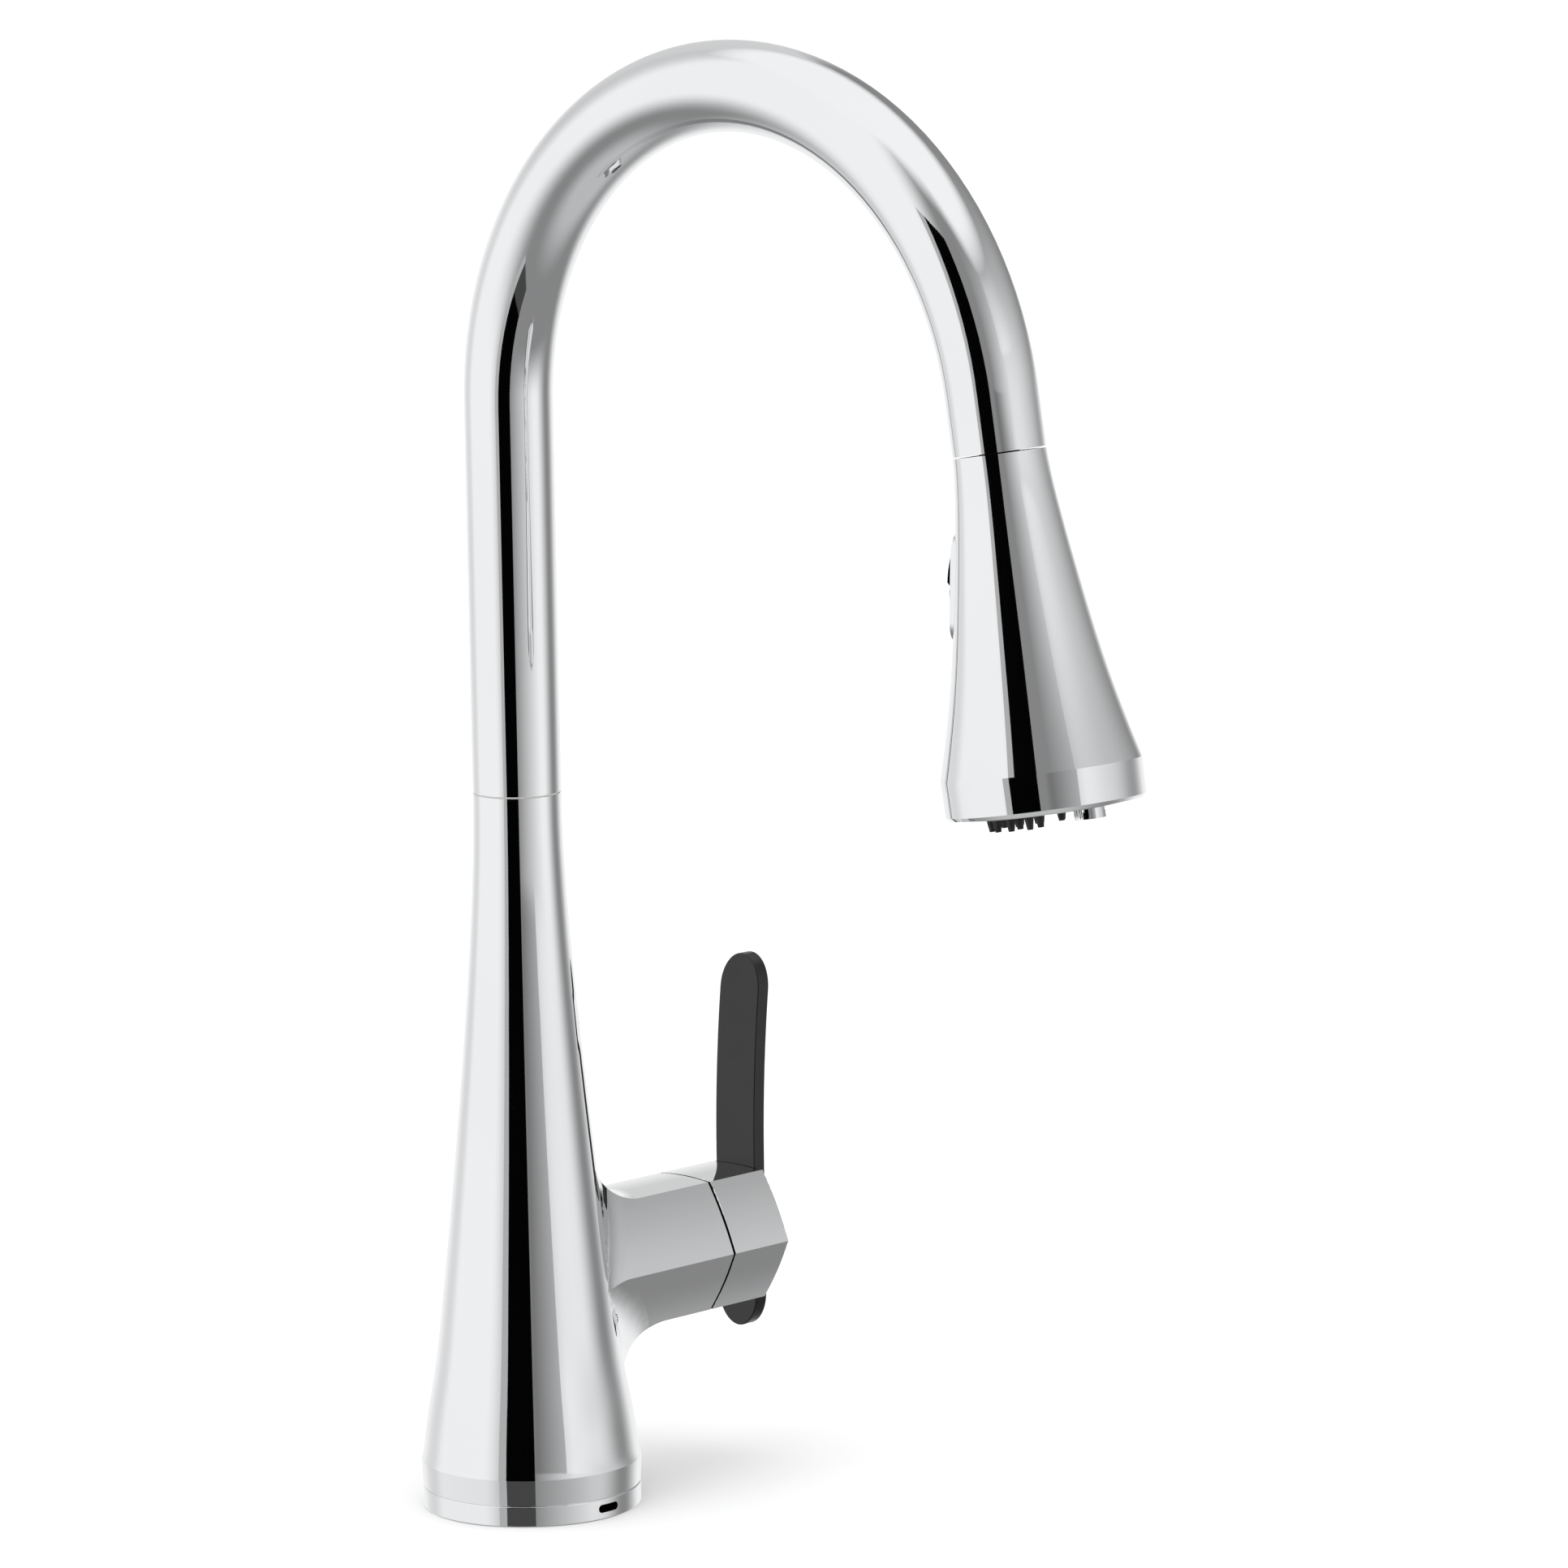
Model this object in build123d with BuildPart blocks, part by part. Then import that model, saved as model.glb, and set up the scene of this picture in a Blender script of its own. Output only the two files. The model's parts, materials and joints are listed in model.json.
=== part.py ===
# Pull-down kitchen faucet: a trumpet-shaped body with a hexagonal side valve and a flat lever,
# a swivelling gooseneck spout and a docked spray head on a hose that runs through the spout.
# Frame: origin on the body axis in the plane of the deck, +Z up, spout toward -Y, lever toward +X.
import os
from math import cos, pi, radians, sin

from build123d import *

os.makedirs("parts", exist_ok=True)

# ---------------------------------------------------------------- driving dimensions, mm
# Base and body
base_radius = 31.5
base_ring_height = 6.0
base_bore = 20.0
shank_bore = 16.5
shank_thread_length = 14.0
crease_radius = 31.8
crease_height = 13.7
body_top = 208.4
body_bore = 11.0
weep_width = 7.6
weep_height = 2.4

# Spout
tube_radius = 12.7
tube_wall = 1.5
washer_height = 0.5
leg_top = 320.5
arc_radius = 94.0
outlet_tilt = 9.3
drop_length = 15.5
stem_radius = 9.2
stem_bottom = 166.0

# Valve hub and lever, on an axis along +X
hub_z = 66.0
hub_half_height = 19.1
hub_half_width = 20.4
hub_corner = 10.2
ridge_drop = 1.0
hub_fillet = 18.0
hub_crown = 0.6
hub_end = 64.3
cap_start = 65.0
cap_end = 87.5
cap_cavity = 15.0
cartridge_radius = 12.4
nut_radius = 14.9
lever_width = 15.9
lever_thickness = 4.4
lever_inset = 1.4
lever_bottom = 36.9
lever_top = 148.4
lever_bend = 61.7
lever_lean = 4.3
lever_tilt_max = 18.0
pivot_x = 80.0
pivot_radius = 1.5

# Hose
hose_radius = 5.5
hose_bottom = 30.0
hose_bore = 3.2
hose_way = 6.3

# Spray head, measured along its own axis from the seam under the spout
neck_radius = 12.75
flare_radius = 27.4
flare_end = 85.7
head_length = 96.5
rim_radius = 27.25
head_wall = 1.6
head_yaw = 64.0
aerator_offset = 11.9
aerator_radius = 4.3
nozzle_reach = 4.3
button_height = 34.5
button_lean = 8.8
button_seat = 16.75
bezel_length = 26.2
bezel_width = 9.2

# Fits
clearance = 0.3
seam_gap = 0.4
pin_fit = 0.05

# ---------------------------------------------------------------- frames
tilt = radians(outlet_tilt)
yaw = radians(head_yaw)
down = Vector(0, -sin(tilt), -cos(tilt))
arc_end = Vector(0, -arc_radius * (1 + cos(tilt)), leg_top + arc_radius * sin(tilt))
seam = arc_end + down * drop_length
aerator_side = Vector(cos(yaw), -sin(yaw) * cos(tilt), sin(yaw) * sin(tilt))

# Section through the head axis: x toward the aerator, y up the axis, 0 at the seam.
head_section = Plane(origin=seam, x_dir=aerator_side, z_dir=aerator_side.cross(-down))
head_axis = Axis(seam, -down)


def across(height):
    """Plane square to the head axis at a distance below the seam, facing the spray face."""
    return Plane(origin=seam + down * height, x_dir=aerator_side, z_dir=down)


def upright(x):
    """Plane square to the hub axis at x, with local x along +Y and local y along +Z."""
    return Plane.YZ.offset(x)


# Frame of the mode button on the head's flank: z out of the flank, x toward the spray face.
lean = radians(button_lean)
button_out = -aerator_side * cos(lean) - down * sin(lean)
button_down = down * cos(lean) - aerator_side * sin(lean)
button_origin = seam + down * button_height - aerator_side * button_seat
button_plane = Plane(origin=button_origin, x_dir=button_down, z_dir=button_out)


# ---------------------------------------------------------------- repeated shapes
def ring(plane, outer, inner, height):
    """Plain ring standing on a plane."""
    with BuildPart() as piece:
        with BuildSketch(plane):
            Circle(outer)
            Circle(inner, mode=Mode.SUBTRACT)
        extrude(amount=height)
    return piece


def o_ring(height, inner, section):
    """Round rubber ring on the body axis."""
    with BuildPart() as piece:
        with BuildSketch(Plane.XZ):
            with Locations((inner + section, height)):
                Circle(section)
        revolve(axis=Axis.Z)
    return piece


def hexagon():
    """Corners of the hub's hexagon: flat top and bottom, a ridge on each side."""
    top = hub_z + hub_half_height
    bottom = hub_z - hub_half_height
    ridge = hub_z - ridge_drop
    return [
        (hub_corner, top),
        (hub_half_width, ridge),
        (hub_corner, bottom),
        (-hub_corner, bottom),
        (-hub_half_width, ridge),
        (-hub_corner, top),
    ]


def hub_outline():
    """Closed outline of the hub: six slightly crowned sides."""
    corners = hexagon()
    for corner, following in zip(corners, corners[1:] + corners[:1]):
        SagittaArc(corner, following, hub_crown)


# ---------------------------------------------------------------- base
base_gasket = ring(Plane.XY, 28.5, 23.0, 1.8)

with BuildPart() as base_ring:
    with BuildSketch(Plane.XY):
        Circle(base_radius)
        Circle(base_bore, mode=Mode.SUBTRACT)
    extrude(amount=base_ring_height)
    with BuildSketch(Plane.XY):
        Circle(28.6)
        Circle(22.9, mode=Mode.SUBTRACT)
    extrude(amount=1.8, mode=Mode.SUBTRACT)
    outer_edges = base_ring.edges().filter_by(GeomType.CIRCLE).group_by(SortBy.RADIUS)[-1]
    fillet(outer_edges, 0.35)
    with BuildSketch(Plane.XZ.offset(base_bore + 4)):
        with Locations((0, 3.2)):
            SlotOverall(weep_width, weep_height)
    extrude(amount=base_radius, mode=Mode.SUBTRACT)

with BuildPart() as shank_socket:
    with BuildSketch(Plane.XY):
        Circle(base_bore)
        Circle(shank_bore, mode=Mode.SUBTRACT)
    extrude(amount=shank_thread_length)
    chamfer(shank_socket.edges().filter_by(GeomType.CIRCLE).group_by(Axis.Z)[0], 0.4)

# Port plate over the shank: hose port in the middle, three tube ports around it.
port_floor = 15.0
port_plate_top = 24.0
port_radius = 4.2
port_depth = 6.0
tube_circle = 10.3
tube_outer = 4.0
tube_bore = 3.0
outlet_spot = (tube_circle, 0)
hot_spot = (tube_circle * cos(radians(75)), -tube_circle * sin(radians(75)))
cold_spot = (tube_circle * cos(radians(75)), tube_circle * sin(radians(75)))
port_spots = [(0, 0), outlet_spot, hot_spot, cold_spot]

with BuildPart() as port_plate:
    with BuildSketch(Plane.XY.offset(port_floor)):
        Circle(base_bore)
    extrude(amount=port_plate_top - port_floor)
    with BuildSketch(Plane.XY.offset(port_floor)):
        with Locations(*port_spots):
            Circle(port_radius)
    extrude(amount=port_depth, mode=Mode.SUBTRACT)
    with BuildSketch(Plane.XY.offset(port_floor)):
        with Locations(*port_spots):
            Circle(tube_bore)
    extrude(amount=port_plate_top - port_floor, mode=Mode.SUBTRACT)

hose_end_fitting = ring(Plane.XY.offset(port_plate_top), 5.8, tube_bore, hose_bottom - port_plate_top)


# ---------------------------------------------------------------- body shell
flank = [
    (crease_radius, crease_height),
    (30.7, 20.0),
    (27.4, 40.0),
    (24.8, 60.0),
    (22.1, 84.0),
    (18.4, 120.0),
    (15.2, 156.0),
    (13.0, 192.0),
    (tube_radius, body_top),
]
cavity = [
    (0, base_ring_height),
    (base_bore, base_ring_height),
    (base_bore, 70.0),
    (17.5, 95.0),
    (13.0, 130.0),
    (body_bore, 160.0),
    (body_bore, body_top),
    (0, body_top),
]

with BuildPart() as body_shell:
    # The seam of the turned surface lies at -X, away from the hub.
    with BuildSketch(Plane.XZ):
        with BuildLine():
            Polyline(
                (-tube_radius, body_top),
                (0, body_top),
                (0, base_ring_height),
                (-base_radius + 0.3, base_ring_height),
                (-base_radius, base_ring_height + 0.3),
                (-crease_radius, crease_height),
            )
            Spline(*[(-r, z) for r, z in flank], tangents=[(0.35, 1), (0, 1)])
        make_face()
    revolve(axis=Axis.Z)
    with BuildSketch(upright(0)):
        with BuildLine():
            hub_outline()
        make_face()
    extrude(amount=hub_end)
    hub_root = body_shell.edges().filter_by(GeomType.BSPLINE)
    hub_root = hub_root.filter_by_position(Axis.X, 1, 40)
    hub_root = hub_root.filter_by_position(Axis.Z, 40, 95)
    fillet(hub_root, hub_fillet)
    with BuildSketch(Plane.XZ):
        with BuildLine():
            Polyline(*cavity, close=True)
        make_face()
    revolve(axis=Axis.Z, mode=Mode.SUBTRACT)
    with BuildSketch(upright(0)):
        with Locations((0, hub_z)):
            Circle(cartridge_radius + 0.2)
    extrude(amount=52.0, mode=Mode.SUBTRACT)
    with BuildSketch(upright(52.0)):
        with Locations((0, hub_z)):
            Circle(nut_radius + 0.1)
    extrude(amount=20.0, mode=Mode.SUBTRACT)

# ---------------------------------------------------------------- swivel bearing in the body
lower_bushing = ring(Plane.XY.offset(168.0), body_bore - 0.02, stem_radius + pin_fit, 8.0)
upper_bushing = ring(Plane.XY.offset(198.0), body_bore - 0.02, stem_radius + pin_fit, 10.0)
washer_plane = Plane.XY.offset(body_top)
glide_washer = ring(washer_plane, tube_radius - 0.35, stem_radius + clearance, washer_height)

# ---------------------------------------------------------------- waterways inside the body
block_bottom = 52.0
block_top = 80.0

with BuildPart() as valve_block:
    with BuildSketch(Plane.XY.offset(block_bottom)):
        Circle(15.0)
    extrude(amount=block_top - block_bottom)
    with BuildSketch(upright(0)):
        with Locations((0, hub_z)):
            Circle(cartridge_radius)
    extrude(amount=24.0)
    with BuildSketch(Plane.XY.offset(block_bottom)):
        Circle(hose_way)
    extrude(amount=block_top - block_bottom, mode=Mode.SUBTRACT)
    with BuildSketch(Plane.XY.offset(block_bottom)):
        with Locations(outlet_spot, hot_spot, cold_spot):
            Circle(tube_bore)
    extrude(amount=11.0, mode=Mode.SUBTRACT)
    # Drillings from the cartridge face down to the three tubes.
    with BuildSketch(upright(9.0)):
        with Locations((0, hub_z - 5)):
            Circle(2.4)
    extrude(amount=16.0, mode=Mode.SUBTRACT)


def water_tube(spot):
    """Copper tube from the port plate up to the valve block."""
    return ring(Plane((*spot, port_plate_top)), tube_outer, tube_bore, block_bottom - port_plate_top)


cold_tube = water_tube(cold_spot)
hot_tube = water_tube(hot_spot)
outlet_tube = water_tube(outlet_spot)


# ---------------------------------------------------------------- cartridge
def on_hub(x):
    """Plane square to the hub axis with its origin on that axis."""
    return Plane(origin=(x, 0, hub_z), x_dir=(0, 1, 0), z_dir=(1, 0, 0))


hub_axis = Axis((0, 0, hub_z), (1, 0, 0))
stem_pivot_x = 50.0
stem_ball_x = 72.0
stem_ball_radius = 2.5

with BuildPart() as cartridge_seal:
    with BuildSketch(on_hub(24.0)):
        Circle(11.5)
        with PolarLocations(5.0, 3, start_angle=-90):
            Circle(2.4, mode=Mode.SUBTRACT)
    extrude(amount=1.0)

with BuildPart() as fixed_disc:
    with BuildSketch(on_hub(27.0)):
        Circle(10.3)
        with PolarLocations(5.0, 3, start_angle=-90):
            Circle(2.2, mode=Mode.SUBTRACT)
    extrude(amount=3.0)

with BuildPart() as moving_disc:
    with BuildSketch(on_hub(30.02)):
        Circle(8.0)
        SlotOverall(8.0, 4.4, mode=Mode.SUBTRACT)
    extrude(amount=3.4)

with BuildPart() as cartridge_housing:
    with BuildSketch(on_hub(25.0)):
        Circle(cartridge_radius)
    extrude(amount=35.0)
    with BuildSketch(on_hub(27.0)):
        Circle(10.4)
    extrude(amount=20.0, mode=Mode.SUBTRACT)
    with BuildSketch(on_hub(47.0)):
        Circle(6.2)
    extrude(amount=20.0, mode=Mode.SUBTRACT)
    with BuildSketch(on_hub(25.0)):
        with PolarLocations(5.0, 3, start_angle=-90):
            Circle(2.4)
    extrude(amount=2.0, mode=Mode.SUBTRACT)
    # The neck above the bore's shoulder is narrower, for the nut.
    with BuildSketch(on_hub(52.0)):
        Circle(cartridge_radius + 1)
        Circle(8.8, mode=Mode.SUBTRACT)
    extrude(amount=8.0, mode=Mode.SUBTRACT)

with BuildPart() as cartridge_nut:
    with BuildSketch(on_hub(52.1)):
        Circle(nut_radius)
        Circle(9.0, mode=Mode.SUBTRACT)
    extrude(amount=6.4)
    with BuildSketch(on_hub(56.0)):
        with PolarLocations(12.6, 6):
            RectangleRounded(2.4, 3.0, 0.6)
    extrude(amount=3.0, mode=Mode.SUBTRACT)

limit_ring = ring(on_hub(58.6), 13.5, 9.2, 2.4)
glide_ring = ring(on_hub(hub_end - 2.0), nut_radius, 13.8, 2.2)

with BuildPart() as cartridge_stem:
    with BuildSketch(Plane.XZ):
        with BuildLine():
            Polyline(
                (stem_pivot_x - 13.0, hub_z),
                (stem_pivot_x - 13.0, hub_z + 2.2),
                (stem_pivot_x - 4.0, hub_z + 2.2),
                (stem_pivot_x - 4.0, hub_z + 4.6),
                (stem_pivot_x + 4.0, hub_z + 4.6),
                (stem_pivot_x + 4.0, hub_z + 1.6),
                (stem_ball_x, hub_z + 1.6),
                (stem_ball_x, hub_z),
                close=True,
            )
        make_face()
    revolve(axis=hub_axis)
    with BuildSketch(Plane.XZ):
        with BuildLine():
            CenterArc((stem_ball_x, hub_z), stem_ball_radius, 0, 180)
            Line((stem_ball_x - stem_ball_radius, hub_z), (stem_ball_x + stem_ball_radius, hub_z))
        make_face()
    revolve(axis=hub_axis)

# ---------------------------------------------------------------- hub cap
channel_floor = cap_end - lever_inset - clearance
channel_half = lever_width / 2 + clearance
wedge_depth = channel_floor - (hub_half_height + 1) * sin(radians(lever_tilt_max)) - 0.6

with BuildPart() as hub_cap:
    with BuildSketch(upright(cap_start)):
        with BuildLine():
            hub_outline()
        make_face()
    extrude(amount=cap_end - cap_start)
    fillet(hub_cap.faces().sort_by(Axis.X)[0].edges(), 0.45)
    fillet(hub_cap.faces().sort_by(Axis.X)[-1].edges(), 0.45)
    with BuildSketch(on_hub(cap_start)):
        Circle(cap_cavity)
    extrude(amount=12.0, mode=Mode.SUBTRACT)
    # Channel for the lever across the end face, and the wedge its tail tilts into.
    with BuildSketch(upright(channel_floor)):
        with Locations((0, hub_z)):
            Rectangle(2 * channel_half, 60)
    extrude(amount=10.0, mode=Mode.SUBTRACT)
    with BuildSketch(Plane.XZ):
        with BuildLine():
            Polyline(
                (channel_floor + 1, hub_z + 1),
                (channel_floor - 0.4, hub_z + 1),
                (wedge_depth, hub_z - hub_half_height - 1),
                (channel_floor + 1, hub_z - hub_half_height - 1),
                close=True,
            )
        make_face()
    extrude(amount=channel_half, both=True, mode=Mode.SUBTRACT)
    # Window for the knuckle that carries the lever's pivot.
    with BuildSketch(upright(cap_start)):
        with Locations((0, hub_z)):
            Rectangle(10.0, 17.0)
    extrude(amount=cap_end, mode=Mode.SUBTRACT)
    # Cross hole for the pivot pin, bored from the rear face.
    with BuildSketch(Plane.XZ.offset(10.0)):
        with Locations((pivot_x, hub_z)):
            Circle(pivot_radius)
    extrude(amount=-22.0, mode=Mode.SUBTRACT)
    with BuildSketch(Plane.XZ.offset(-12.0)):
        with Locations((pivot_x, hub_z)):
            Circle(2.2)
    extrude(amount=-12.0, mode=Mode.SUBTRACT)

with BuildPart() as lever_pin:
    with BuildSketch(Plane.XZ.offset(9.8)):
        with Locations((pivot_x, hub_z)):
            Circle(pivot_radius)
    extrude(amount=-21.7)
    chamfer(lever_pin.edges().filter_by(GeomType.CIRCLE), 0.25)

with BuildPart() as pin_screw:
    with BuildSketch(Plane.XZ.offset(-12.1)):
        with Locations((pivot_x, hub_z)):
            Circle(2.15)
    extrude(amount=-6.2)
    with BuildSketch(Plane.XZ.offset(-15.8)):
        with Locations((pivot_x, hub_z)):
            RegularPolygon(1.25, 6)
    extrude(amount=-4.0, mode=Mode.SUBTRACT)

# ---------------------------------------------------------------- lever
lever_inner = cap_end - lever_inset
lever_outer = lever_inner + lever_thickness
bend_start = lever_top - lever_bend
top_round = 10.5
tail_round = 10.5
top_centre = (0, lever_top - top_round)
tail_centre = (0, lever_bottom + tail_round)

with BuildPart() as lever_bar:
    with BuildSketch(Plane.XZ):
        with BuildLine():
            inner_side = Line((lever_inner, lever_bottom), (lever_inner, bend_start))
            inner_bend = TangentArc(
                inner_side @ 1, (lever_inner + lever_lean, lever_top), tangent=(0, 1)
            )
            outer_side = Line((lever_outer, lever_bottom), (lever_outer, bend_start))
            outer_bend = TangentArc(
                outer_side @ 1, (lever_outer + lever_lean, lever_top), tangent=(0, 1)
            )
            Line(inner_bend @ 1, outer_bend @ 1)
            Line(inner_side @ 0, outer_side @ 0)
        make_face()
    extrude(amount=lever_width / 2, both=True)
    # Front view: straight sides with a half-ellipse at each end.
    with BuildSketch(upright(lever_inner - 5)):
        with BuildLine():
            Line((lever_width / 2, tail_centre[1]), (lever_width / 2, top_centre[1]))
            EllipticalCenterArc(top_centre, lever_width / 2, top_round, start_angle=0, arc_size=180)
            Line((-lever_width / 2, top_centre[1]), (-lever_width / 2, tail_centre[1]))
            EllipticalCenterArc(tail_centre, lever_width / 2, tail_round, start_angle=180, arc_size=180)
        make_face()
    extrude(amount=20.0, mode=Mode.INTERSECT)
    fillet(lever_bar.edges().filter_by(Axis.Z), 0.4)

with BuildPart() as lever_knuckle:
    with BuildSketch(Plane.XZ):
        with BuildLine():
            Polyline(
                (lever_inner, hub_z - 5.5),
                (lever_inner, hub_z + 5.5),
                (pivot_x - 4.0, hub_z + 5.0),
                (stem_ball_x - 1.5, hub_z + 4.4),
                (stem_ball_x - 1.5, hub_z - 4.4),
                (pivot_x - 4.0, hub_z - 5.0),
                close=True,
            )
        make_face()
    extrude(amount=4.5, both=True)
    with BuildSketch(Plane.XZ.offset(6.0)):
        with Locations((pivot_x, hub_z)):
            Circle(pivot_radius + pin_fit)
    extrude(amount=-12.0, mode=Mode.SUBTRACT)
    with BuildSketch(on_hub(stem_ball_x - 2)):
        Circle(stem_ball_radius + 0.4)
    extrude(amount=5.6, mode=Mode.SUBTRACT)

# ---------------------------------------------------------------- spout
leg_bottom = body_top + washer_height

with BuildPart() as spout_tube:
    with BuildLine() as spout_path:
        leg_line = Line((0, 0, leg_bottom), (0, 0, leg_top))
        arc_line = ThreePointArc(
            leg_line @ 1,
            (0, -arc_radius, leg_top + arc_radius),
            (arc_end.X, arc_end.Y, arc_end.Z),
        )
        Line(arc_line @ 1, seam - down * seam_gap / 2)
    with BuildSketch(Plane.XY.offset(leg_bottom)):
        Circle(tube_radius)
        Circle(tube_radius - tube_wall, mode=Mode.SUBTRACT)
    sweep()

with BuildPart() as spout_stem:
    with BuildSketch(Plane.XY.offset(stem_bottom)):
        Circle(stem_radius)
    extrude(amount=leg_bottom - stem_bottom)
    with BuildSketch(Plane.XY.offset(leg_bottom)):
        Circle(tube_radius - tube_wall)
    extrude(amount=14.0)
    with BuildSketch(Plane.XY.offset(stem_bottom)):
        Circle(hose_way)
    extrude(amount=80.0, mode=Mode.SUBTRACT)
    for groove in (180.0, 190.0):
        with BuildSketch(Plane.XY.offset(groove - 1.3)):
            Circle(stem_radius + 1)
            Circle(stem_radius - 1.4, mode=Mode.SUBTRACT)
        extrude(amount=2.6, mode=Mode.SUBTRACT)
    with BuildSketch(Plane.XY.offset(166.8)):
        Circle(stem_radius + 1)
        Circle(stem_radius - 1.0, mode=Mode.SUBTRACT)
    extrude(amount=0.9, mode=Mode.SUBTRACT)

lower_o_ring = o_ring(180.0, stem_radius - 1.4, 1.25)
upper_o_ring = o_ring(190.0, stem_radius - 1.4, 1.25)

with BuildPart() as retainer_clip:
    with BuildSketch(Plane.XY.offset(166.85)):
        Circle(10.4)
        Circle(stem_radius - 0.95, mode=Mode.SUBTRACT)
        with Locations((-9, 0)):
            Rectangle(8, 5, mode=Mode.SUBTRACT)
    extrude(amount=0.8)

# ---------------------------------------------------------------- docking end of the spout
dock_sleeve = ring(across(-14.0), tube_radius - tube_wall - 0.02, 6.6, 7.0)
dock_magnet = ring(across(-6.9), tube_radius - tube_wall - 0.1, 7.4, 5.0)
dock_lip = ring(across(-1.8), tube_radius - tube_wall - 0.02, 7.0, 1.3)

# ---------------------------------------------------------------- hose
hose_run_end = -14.5

with BuildPart() as hose_run:
    with BuildLine():
        hose_leg = Line((0, 0, hose_bottom + clearance), (0, 0, leg_top))
        hose_arc = ThreePointArc(
            hose_leg @ 1,
            (0, -arc_radius, leg_top + arc_radius),
            (arc_end.X, arc_end.Y, arc_end.Z),
        )
        Line(hose_arc @ 1, seam + down * hose_run_end)
    with BuildSketch(Plane.XY.offset(hose_bottom + clearance)):
        Circle(hose_radius)
        Circle(hose_bore, mode=Mode.SUBTRACT)
    sweep()

hose_lead_start = hose_run_end + clearance
hose_lead_length = 24.0
ferrule_start = hose_lead_start + hose_lead_length
ferrule_length = 5.0
fitting_start = ferrule_start + ferrule_length
hose_lead = ring(across(hose_lead_start), hose_radius, hose_bore, hose_lead_length)
hose_ferrule = ring(across(ferrule_start), 6.6, hose_bore, ferrule_length)

with BuildPart() as hose_fitting:
    with BuildSketch(across(fitting_start)):
        Circle(7.6)
        Circle(2.8, mode=Mode.SUBTRACT)
    extrude(amount=2.0)
    with BuildSketch(across(fitting_start)):
        Circle(6.0)
        Circle(2.8, mode=Mode.SUBTRACT)
    extrude(amount=12.0)

hose_seal = ring(across(23.5), 7.0, 6.02, 1.6)

# ---------------------------------------------------------------- spray head shell
shell_start = seam_gap / 2
flare = [(neck_radius, shell_start), (14.2, 16.5), (17.1, 36.5), (21.3, 60.5), (flare_radius, flare_end)]

with BuildPart() as head_shell:
    with BuildSketch(head_section):
        with BuildLine():
            outer_flare = Spline(*[(r, -h) for r, h in flare], tangents=[(0.03, -1), (0.27, -1)])
            Polyline(
                outer_flare @ 1,
                (rim_radius, -head_length + 1),
                (rim_radius - 1, -head_length),
                (rim_radius - head_wall, -head_length),
                (rim_radius - head_wall, -flare_end - 0.5),
            )
            Spline(
                (rim_radius - head_wall, -flare_end - 0.5),
                *[(r - head_wall, -h) for r, h in flare[-2:0:-1]],
                (neck_radius - head_wall, -shell_start),
            )
            Line((neck_radius - head_wall, -shell_start), (neck_radius, -shell_start))
        make_face()
    revolve(axis=head_axis)
    # Flat pad around the mode button, and the window through the flank.
    with BuildSketch(button_plane.offset(-2.4)):
        SlotOverall(31.6, 14.6)
    with BuildSketch(button_plane.offset(0.1)):
        SlotOverall(29.8, 12.8)
    loft()
    with BuildSketch(button_plane.offset(-6.0)):
        SlotOverall(bezel_length + 0.2, bezel_width + 0.2)
    extrude(amount=12.0, mode=Mode.SUBTRACT)

# ---------------------------------------------------------------- inside the head
head_collar = ring(across(0.6), 10.9, 7.9, 4.6)

with BuildPart() as head_inlet:
    with BuildSketch(across(19.0)):
        Circle(10.2)
        Circle(8.0, mode=Mode.SUBTRACT)
    extrude(amount=9.0)
    with BuildSketch(across(28.0)):
        Circle(10.2)
        Circle(3.2, mode=Mode.SUBTRACT)
    extrude(amount=3.0)

inlet_screen = ring(across(27.2), 7.9, 1.2, 0.7)

with BuildPart() as waterway:
    with BuildSketch(across(31.0)):
        Circle(9.6)
    extrude(amount=52.0)
    with BuildSketch(across(83.0)):
        Circle(24.0)
    extrude(amount=4.0)
    # Check valve seat, diverter bore and the two ways out of it.
    with BuildSketch(across(31.0)):
        Circle(4.0)
    extrude(amount=14.0, mode=Mode.SUBTRACT)
    with BuildSketch(across(45.0)):
        Circle(3.4)
    extrude(amount=26.0, mode=Mode.SUBTRACT)
    with BuildSketch(across(71.0)):
        with Locations((aerator_offset - 5.5, 0)):
            Circle(2.0)
    extrude(amount=16.0, mode=Mode.SUBTRACT)

with BuildPart() as check_valve:
    with BuildSketch(across(32.0)):
        Circle(3.9)
    extrude(amount=9.0)
    with BuildSketch(across(32.0)):
        with PolarLocations(2.2, 4):
            Circle(0.8)
    extrude(amount=9.0, mode=Mode.SUBTRACT)

with BuildPart() as diverter_spool:
    with BuildSketch(across(47.0)):
        Circle(3.34)
    extrude(amount=4.0)
    with BuildSketch(across(51.0)):
        Circle(1.6)
    extrude(amount=8.0)
    with BuildSketch(across(59.0)):
        Circle(3.34)
    extrude(amount=4.0)


def coil(start, length, radius, wire, turns):
    """Round-wire spring on the head axis."""
    with BuildPart() as piece:
        with BuildLine():
            path = Helix(length / turns, length, radius, center=seam + down * start, direction=down)
        with BuildSketch(Plane(origin=path @ 0, z_dir=path % 0)):
            Circle(wire / 2)
        sweep()
    return piece


diverter_spring = coil(63.5, 7.0, 2.4, 0.6, 5)

# ---------------------------------------------------------------- spray face
outer_nozzles = (15.2, 9, 22.0)
inner_nozzles = (9.9, 6, 38.0)
plate_floor = 94.3
plate_face = 97.1
plate_radius = 25.3
boss_radius = 21.5
nozzle_tip = head_length + nozzle_reach


def nozzle_spots():
    """Nozzle centres: two arcs about the head axis, on the side away from the aerator."""
    spots = []
    for arc_r, count, step in (outer_nozzles, inner_nozzles):
        for i in range(count):
            angle = radians(180 + (i - (count - 1) / 2) * step)
            spots.append((arc_r * cos(angle), arc_r * sin(angle)))
    return spots


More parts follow.
